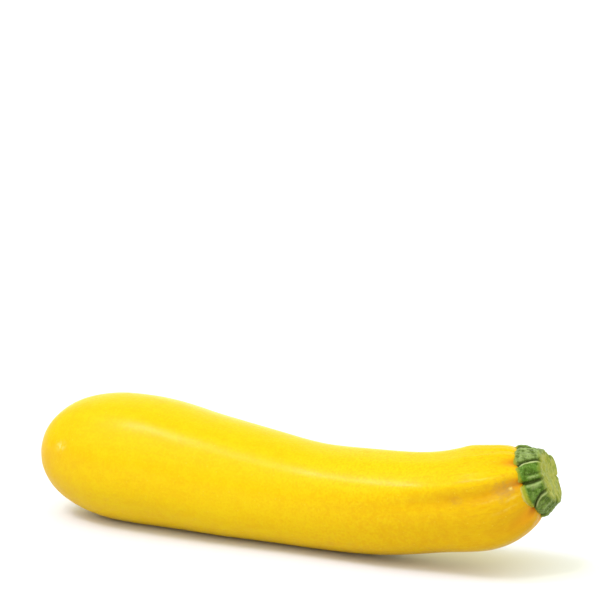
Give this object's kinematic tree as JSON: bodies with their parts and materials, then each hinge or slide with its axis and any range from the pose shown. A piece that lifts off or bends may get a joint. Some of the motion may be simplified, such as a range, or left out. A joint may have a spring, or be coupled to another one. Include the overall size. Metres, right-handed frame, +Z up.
{
  "type": "yellow zucchini",
  "caption": "Whole yellow zucchini, gently bowed, thicker at the rounded blossom end, with a short ribbed green stem stub, lying on its belly.",
  "frame": {"origin": "on the ground, under the middle of the whole zucchini's box", "axes": "+X runs from the blossom end to the stem, +Y across the fruit, +Z up"},
  "size_m": [0.2164, 0.052, 0.0501],
  "materials": {
    "skin": "waxy, semi-gloss golden yellow skin",
    "stem": "matte ribbed green, pale olive on the cut face"
  },
  "bodies": {
    "root": {"fruit": "skin", "stem": "stem"}
  },
  "joints": []
}
